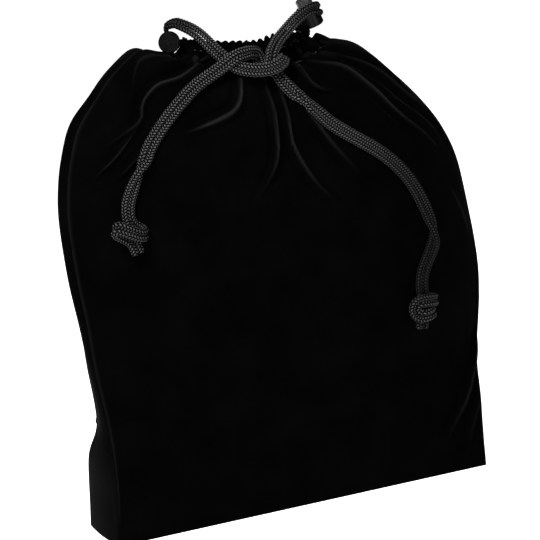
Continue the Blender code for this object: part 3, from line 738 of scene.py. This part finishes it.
def make_tape(name, side, material, node):
    """The tape inside the neck, which bulges round the two cords and puckers with the pleats."""
    tall, wide, puckers = 25, 161, 26
    level = np.linspace(0, 1, tall)[:, None]
    across = np.sin(np.pi / 2 * np.linspace(-0.6, 0.6, wide))[None, :]
    bulge = 0.0056 * np.sqrt(np.clip(1 - (2 * level - 1) ** 4, 0, 1))
    pucker = 0.0003 * np.cos(np.pi * 2 * puckers * np.linspace(0, 1, wide))[None, :]
    depth = (0.0020 + bulge + pucker)[..., None]
    points = channel_line(level + 0 * across, side, across + 0 * level, depth)
    thing = mesh_object(name, points.reshape(-1, 3), grid_faces(*points.shape[:2], flip=side > 0))
    thicken(thing, TAPE_THICK)
    dress(thing, material, "tape", node)


def make_loop(name, end, level, material, node):
    """The part of a drawstring that runs round the neck in the channel, from its exit at the end given and
    back to it."""
    places_round, cad_cloth, gap, slimmer = 17, 0.0015, 0.0003, 0.92
    across = end * 0.86 * (1 - np.linspace(0, 2, places_round))
    inside = cad_cloth + gap + slimmer * CORD / 2 + 0.00015
    front = channel_line(np.full(places_round, level), -1, across, inside)
    back = channel_line(np.full(places_round, level), 1, across, inside)
    far = channel_line(np.array([level]), -1, np.array([-float(end)]), 0.0)[0]
    turn = np.array([[far[0] + end * (inside + 0.0012), 0.0, (front[-1, 2] + back[-1, 2]) / 2]])
    line = np.vstack([front, turn, back[::-1]])
    thing, _ = braided_tube(name, line, spacing=0.0006, around=24, share=0.9)
    dress(thing, material, "cord", node)


# ---------------------------------------------------------------- the cords


def lock_frame(lock):
    """A lock's foot, its axis, and the way the cords go through it, at right angles to the axis."""
    foot, axis, way = (np.array(v, float) for v in lock)
    axis = unit(axis)
    return foot, axis, unit(way - axis * (way @ axis))


def through(lock):
    """Rows of a route that take the pair of cords straight through a lock."""
    foot, axis, way = lock_frame(lock)
    middle = foot + axis * SLOT_MIDDLE
    places_on_the_way = (-0.0075, -0.0050, 0, 0.0050, 0.0075)
    return [(tuple(middle + way * d), tuple(axis)) for d in places_on_the_way]


def thickness_at(points, lock):
    """Thickness of a cord at each point, as a share: a lock squeezes what runs through it."""
    foot, axis, _ = lock_frame(lock)
    middle = foot + axis * SLOT_MIDDLE
    in_lock, clear = 0.0070, 0.0105  # how far from the middle of the hole the squeeze ends
    return SQUEEZE + (1 - SQUEEZE) * smoothstep(in_lock, clear, np.linalg.norm(points - middle, axis=1))


def pair(rows, lock):
    """Two lines side by side along the rows, as points a CORD_STEP apart, in the CAD frame."""
    table = np.array([(*middle, *way) for middle, way in rows])
    fine = evenly(table, CORD_STEP)
    middle, way = fine[:, :3], fine[:, 3:]
    ahead = unit(np.gradient(middle, axis=0))
    way = unit(way - ahead * np.sum(way * ahead, axis=1, keepdims=True)) * SPACING / 2
    way = way * thickness_at(middle, lock)[:, None]
    return [middle + way - (MIDDLE, 0, 0), middle - way - (MIDDLE, 0, 0)]


BELOW_THE_CHANNEL = 0.264  # cords that are lower than this lie on the front
SETTLE_ROUNDS, SMOOTH_ROUNDS = 60, 40
NEIGHBOURS = 6  # points of one cord that are closer in the line than this don't push each other
PUSH_SHARE, MOST_PUSH = 0.30, 0.0006  # the share of an overlap that a cord moves in a round, and the most
STIFFNESS = 0.25  # how much of a bend one round straightens
CLOTH_REACH = 0.012  # cloth farther away than this is left alone
CLOTH_PUSH = 0.0005  # the most that the cloth moves a cord in one round
KINK = 0.0003  # a point farther than this from the middle of its neighbours is a kink
KINK_SHARE = 0.5  # how much of a kink one round takes out


def bends(line):
    """How far the middle of its two neighbours is from each point of a line."""
    return (line[:-2] + line[2:]) / 2 - line[1:-1]


def settle(lines, cloth, held):
    """Pushes cords that touch apart and out of the cloth, keeps their length, and smooths them. held is how
    many points at the start of each line stay where they are."""
    corners = [v.co for v in cloth.data.vertices]
    tree = BVHTree.FromPolygons(corners, [tuple(face.vertices) for face in cloth.data.polygons])
    lengths = [len(line) for line in lines]
    index = np.concatenate([np.arange(n) for n in lengths])
    owner = np.concatenate([np.full(n, k) for k, n in enumerate(lengths)])
    points = np.concatenate(lines)
    free = (index >= np.array(held)[owner]).astype(float)[:, None]
    near = (owner[:, None] == owner[None, :]) & (np.abs(index[:, None] - index[None, :]) < NEIGHBOURS)
    rest = [np.linalg.norm(np.diff(line, axis=0), axis=1) for line in lines]
    starts = np.concatenate([[0], np.cumsum(lengths)])
    for _ in range(SETTLE_ROUNDS):
        apart = points[:, None] - points[None, :]
        distance = np.linalg.norm(apart, axis=-1) + 1e-9
        push = np.clip(SPACING - distance, 0, None)
        push[near] = 0
        move = (apart / distance[..., None] * push[..., None] * PUSH_SHARE).sum(axis=1)
        points += np.clip(move, -MOST_PUSH, MOST_PUSH) * free
        for k, n in enumerate(lengths):
            a, b = starts[k], starts[k + 1]
            line = points[a:b]
            line[1:-1] += bends(line) * STIFFNESS * free[a + 1 : b - 1]
            for first in (0, 1):  # every other gap, and then those between
                gap = line[first + 1 :: 2][: len(line[first:-1:2])] - line[first:-1:2]
                size = np.linalg.norm(gap, axis=1, keepdims=True)
                wrong = gap * (1 - rest[k][first::2][: len(size), None] / size) * 0.5
                line[first:-1:2] += wrong * free[a + first : b - 1 : 2]
                line[first + 1 :: 2][: len(size)] -= wrong * free[a + first + 1 : b : 2][: len(size)]
        for i in np.flatnonzero(free[:, 0] * (points[:, 2] < BELOW_THE_CHANNEL)):
            found, normal, _, _ = tree.find_nearest(Vector(points[i]), CLOTH_REACH)
            if found is None:
                continue
            off = (points[i] - np.array(found)) @ np.array(normal)
            if off < CORD / 2:
                points[i] += np.array(normal) * min(CORD / 2 - off, CLOTH_PUSH)
    for _ in range(SMOOTH_ROUNDS):
        for a, b in zip(starts[:-1], starts[1:]):
            line = points[a:b]
            bend = bends(line)
            kinked = np.linalg.norm(bend, axis=1, keepdims=True) > KINK
            line[1:-1] += bend * KINK_SHARE * kinked * free[a + 1 : b - 1]
    return [points[starts[k] : starts[k + 1]] for k in range(len(lines))]


# How bright the strands are along each pair: shares of the length, and the brightness there. The darker
# stretches are painted shade, near the locks and along the tails.
STRAND_SHADE = {
    "left": (
        [0, 0.08, 0.13, 0.50, 0.62, 0.75, 0.82, 0.88, 1],
        [0.25, 0.25, 1, 1, 0.5, 0.24, 0.3, 0.6, 0.7],
    ),
    "right": (
        [0, 0.14, 0.20, 0.60, 0.80, 0.86, 0.90, 1],
        [0.3, 0.3, 0.95, 1, 0.9, 0.5, 0.8, 0.8],
    ),
}
# No painted shade along the cord.
UNSHADED = ([0, 1], [1, 1])
BEAD = 0.00177  # how far apart the strands of the braid show along the cord
COLUMNS = 6  # of strands, round the cord
FIRST_SIDE = (0.3, 0.1, 0.9)  # any direction that no cord starts along


def braided_tube(name, line, spacing=0.0003, around=48, lock=None, share=1.0, shade_along=UNSHADED):
    """A round braid along the line: COLUMNS columns of short slanting strands that lean alternately. share
    is its thickness as a share of CORD, which a lock takes over."""
    centre = evenly(line, spacing)
    ahead = unit(np.gradient(centre, axis=0))
    side = np.zeros_like(centre)
    side[0] = unit(np.cross(ahead[0], FIRST_SIDE))
    for k in range(1, len(centre)):
        side[k] = side[k - 1] - ahead[k] * (side[k - 1] @ ahead[k])
        side[k] /= np.linalg.norm(side[k])
    other = np.cross(ahead, side)
    angle = circle(around)
    column = COLUMNS * angle[None, :] / (2 * np.pi)
    lean = np.where(column.astype(int) % 2 == 0, 1.0, -1.0)
    inside = column - column.astype(int) - 0.5
    turn = np.arange(len(centre))[:, None] * spacing / BEAD + lean * (0.60 * inside + 0.25)
    height = np.cos(np.pi * inside) ** 0.5 * (0.5 + 0.5 * np.cos(2 * np.pi * turn)) ** 0.9
    radius = CORD / 2 * (0.80 + 0.22 * height)
    if lock:
        share = thickness_at(centre + (MIDDLE, 0, 0), lock)[:, None]
    radius = radius * share
    end = np.minimum(np.arange(len(centre)), np.arange(len(centre))[::-1])[:, None] * spacing / (CORD / 2)
    radius = radius * np.sqrt(np.clip(1 - np.clip(0.75 - end, 0, 1) ** 2, 0.02, 1))
    ring = np.cos(angle)[None, :, None] * side[:, None] + np.sin(angle)[None, :, None] * other[:, None]
    points = centre[:, None] + ring * radius[..., None]
    thing = mesh_object(name, points.reshape(-1, 3), tube_faces(len(centre), around))
    close_ends(thing, len(centre), around)
    # raised also sets the painted shade in the gaps between strands, through the material.
    keep_values(thing, "raised", height)
    # Painted shade along the cord's length, stored for the material.
    keep_values(thing, "shade_along", np.interp(np.linspace(0, 1, len(centre)), *shade_along)[:, None] + 0 * height)
    return thing, centre


def make_cords(material, cloth):
    """The two cords of each pair, from the channel through a lock and the half knot to an end knot."""
    left = LEFT_IN + through(LEFT_LOCK) + LEFT_OUT
    right = RIGHT_IN + through(RIGHT_LOCK) + RIGHT_OUT
    lines = [*pair(left, LEFT_LOCK), *pair(right, RIGHT_LOCK)]
    lines = settle(lines, cloth, (26, 26, 30, 30))  # held as far as the far side of each lock
    stands_for = {
        "left_cord_a": ("left_run_a", "right_tail_b", "right_end_knot"),
        "left_cord_b": ("left_run_b", "right_tail_a"),
        "right_cord_a": ("right_run_a", "left_tail_b", "left_end_knot", "centre_knot"),
        "right_cord_b": ("right_run_b", "left_tail_a"),
    }
    for (name, nodes), line in zip(stands_for.items(), lines):
        side = name.split("_")[0]
        thing, centre = braided_tube(name, line, lock=LOCKS[side], shade_along=STRAND_SHADE[side])
        dress(thing, material, "cord", *nodes)


# ---------------------------------------------------------------- the locks


def make_spring(side, material):
    """The two turns of wire under a plunger, made as they stand at rest."""
    foot, axis, way = lock_frame(LOCKS[side])
    aside = np.cross(axis, way)
    foot = foot - (MIDDLE, 0, 0)
    wire, coil, low, high = 0.00025, 0.0034, 0.00155, 0.00345  # two radii, and where the coil starts and ends
    turns, tall, around = 2, 97, 10
    turn = np.linspace(0, 2 * turns * np.pi, tall)[:, None]
    rise = low + (high - low) * turn / turn[-1]
    line = foot + coil * (np.cos(turn) * way + np.sin(turn) * aside) + rise * axis
    ahead = unit(np.gradient(line, axis=0))
    out = unit(line - foot - rise * axis)
    up = np.cross(ahead, out)
    angle = circle(around)[None, :, None]
    points = line[:, None] + wire * (np.cos(angle) * out[:, None] + np.sin(angle) * up[:, None])
    thing = mesh_object(f"{side}_coil_spring", points.reshape(-1, 3), tube_faces(tall, around))
    close_ends(thing, tall, around)
    dress(thing, material, "spring", f"{side}_lock_spring")
    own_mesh(thing)


def repaint(frame, name, material):
    """A new material on a CAD node that is shown as it is."""
    node = frame["nodes"][name]
    node.data.materials.clear()
    node.data.materials.append(material)


# ---------------------------------------------------------------- camera, light and floor


def make_camera():
    """Where the view was taken from: 22 degrees to the bag's left and 12 above, turned a little."""
    sideways, above, turned, distance = math.radians(-22), math.radians(12), math.radians(-5.6), 1.53
    back = Vector((
        math.sin(sideways) * math.cos(above),
        -math.cos(sideways) * math.cos(above),
        math.sin(above),
    ))
    right = Vector((math.cos(sideways), math.sin(sideways), 0))
    facing = Matrix((right, back.cross(right), back)).transposed().to_4x4()
    data = bpy.data.cameras.new("camera")
    data.sensor_width = 36.0
    data.lens = 174.0
    data.shift_x = 0.0037
    data.shift_y = -0.0212
    camera = bpy.data.objects.new("camera", data)
    bpy.context.scene.collection.objects.link(camera)
    camera.matrix_world = Matrix.Translation(Vector((-MIDDLE, 0, 0.145)) + back * distance) @ facing
    camera.matrix_world = camera.matrix_world @ Matrix.Rotation(turned, 4, "Z")
    bpy.context.scene.camera = camera


def area_light(name, place, target, size, power):
    """A round lamp at a place, turned to a target."""
    data = bpy.data.lights.new(name, "AREA")
    data.shape = "DISK"
    data.size = size
    data.energy = power
    light = bpy.data.objects.new(name, data)
    bpy.context.scene.collection.objects.link(light)
    light.location = place
    light.rotation_euler = (Vector(target) - Vector(place)).to_track_quat("-Z", "Y").to_euler()


def make_studio():
    """White surroundings that light nothing, three lamps, and a white floor."""
    world = bpy.data.worlds.new("studio")
    world.use_nodes = True
    world.node_tree.nodes["Background"].inputs["Color"].default_value = (1, 1, 1, 1)
    world.node_tree.nodes["Background"].inputs["Strength"].default_value = 1.0
    world.cycles_visibility.diffuse = False
    world.cycles_visibility.glossy = False
    bpy.context.scene.world = world
    bpy.context.scene.view_settings.view_transform = "Standard"
    area_light("key", (-0.42, -0.42, 0.75), (0, 0, 0.18), 0.25, 12)
    area_light("fill", (0.5, -1.5, 0.5), (0, 0, 0.15), 1.0, 6)
    area_light("top", (0.4, 0.5, 1.2), (0, 0, 0.2), 0.8, 10)
    half = 3
    corners = [(-half, -half, 0), (half, -half, 0), (half, half, 0), (-half, half, 0)]
    floor = mesh_object("floor", corners, [(0, 1, 2, 3)])
    material, _, shader = shader_of("white_floor")
    shader.inputs["Base Color"].default_value = (0.96, 0.96, 0.96, 1)
    shader.inputs["Roughness"].default_value = 0.9
    shader.inputs["Emission Color"].default_value = (1, 1, 1, 1)
    shader.inputs["Emission Strength"].default_value = 1.0
    floor.data.materials.append(material)


def main():
    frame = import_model()
    make_camera()
    pile = velvet()
    cord = braid()
    tape = tape_cloth()
    pieces = make_velvet(pile)
    bpy.context.view_layer.update()
    make_cords(cord, pieces["front_velvet"][0])
    shell = plastic(
        "moulded_shell", dark=(0.0010, 0.0010, 0.0011), light=(0.0018, 0.0018, 0.0020),
        roughness=0.30, specular=0.12, grain=2500.0, strength=0.15,
    )
    pin = plastic(
        "glossy_plunger", dark=(0.022, 0.022, 0.023), light=(0.034, 0.034, 0.035),
        roughness=0.24, specular=0.5, grain=2500.0, strength=0.05,
    )
    wire = steel()
    for side in ("left", "right"):
        repaint(frame, f"{side}_lock_body", shell)
        repaint(frame, f"{side}_lock_plunger", pin)
    make_spring("left", wire)
    make_spring("right", wire)
    base = make_base(pile)
    sewn = thread()
    make_stitches("front_stitches", pieces["front_velvet"][0], sewn)
    make_stitches("back_stitches", pieces["back_velvet"][0], sewn)
    make_tape("front_tape", -1, tape, "front_casing")
    make_tape("back_tape", 1, tape, "back_casing")
    make_loop("left_channel_cord", -1, 0.29, cord, "left_drawstring_loop")
    make_loop("right_channel_cord", 1, 0.71, cord, "right_drawstring_loop")
    make_studio()


main()
